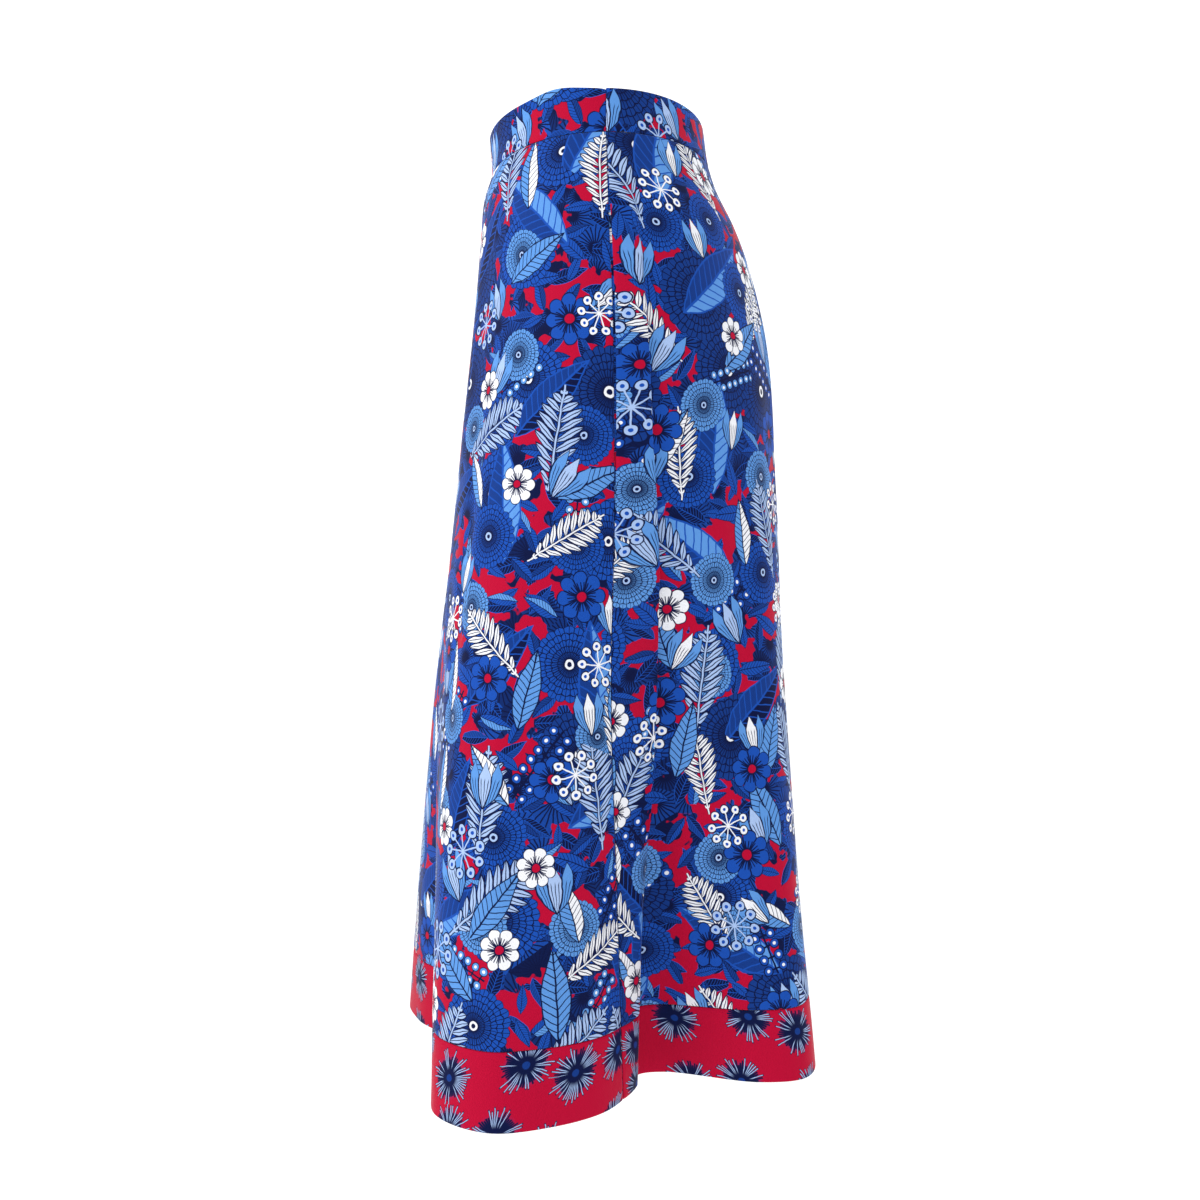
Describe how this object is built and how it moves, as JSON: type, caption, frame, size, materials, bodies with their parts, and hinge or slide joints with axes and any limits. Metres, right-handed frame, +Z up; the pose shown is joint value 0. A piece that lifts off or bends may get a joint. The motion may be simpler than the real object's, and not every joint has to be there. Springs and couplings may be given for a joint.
{
  "type": "a-line skirt",
  "caption": "Long A-line skirt in its worn, hollow shape: straight waistband, flared front and back panels with side seams, soft flutes and a contrast hem band.",
  "frame": {"origin": "middle of the waist, half way up the waistband, where the wearer's waist holds the skirt", "axes": "+Z up along the body, -Y the wearer's front, +X the wearer's left side"},
  "size_m": [0.4087, 0.4077, 0.862],
  "materials": {
    "printed_cotton": "printed cotton sateen, blue foliage and flowers with white and crimson, soft low sheen",
    "border_cotton": "printed cotton sateen, crimson with scattered navy and pale burst flowers, soft low sheen"
  },
  "bodies": {
    "root": {"waistband_front": "printed_cotton", "waistband_back": "printed_cotton", "panel_front": "printed_cotton", "panel_back": "printed_cotton", "hem_band_front": "border_cotton", "hem_band_back": "border_cotton"}
  },
  "joints": []
}
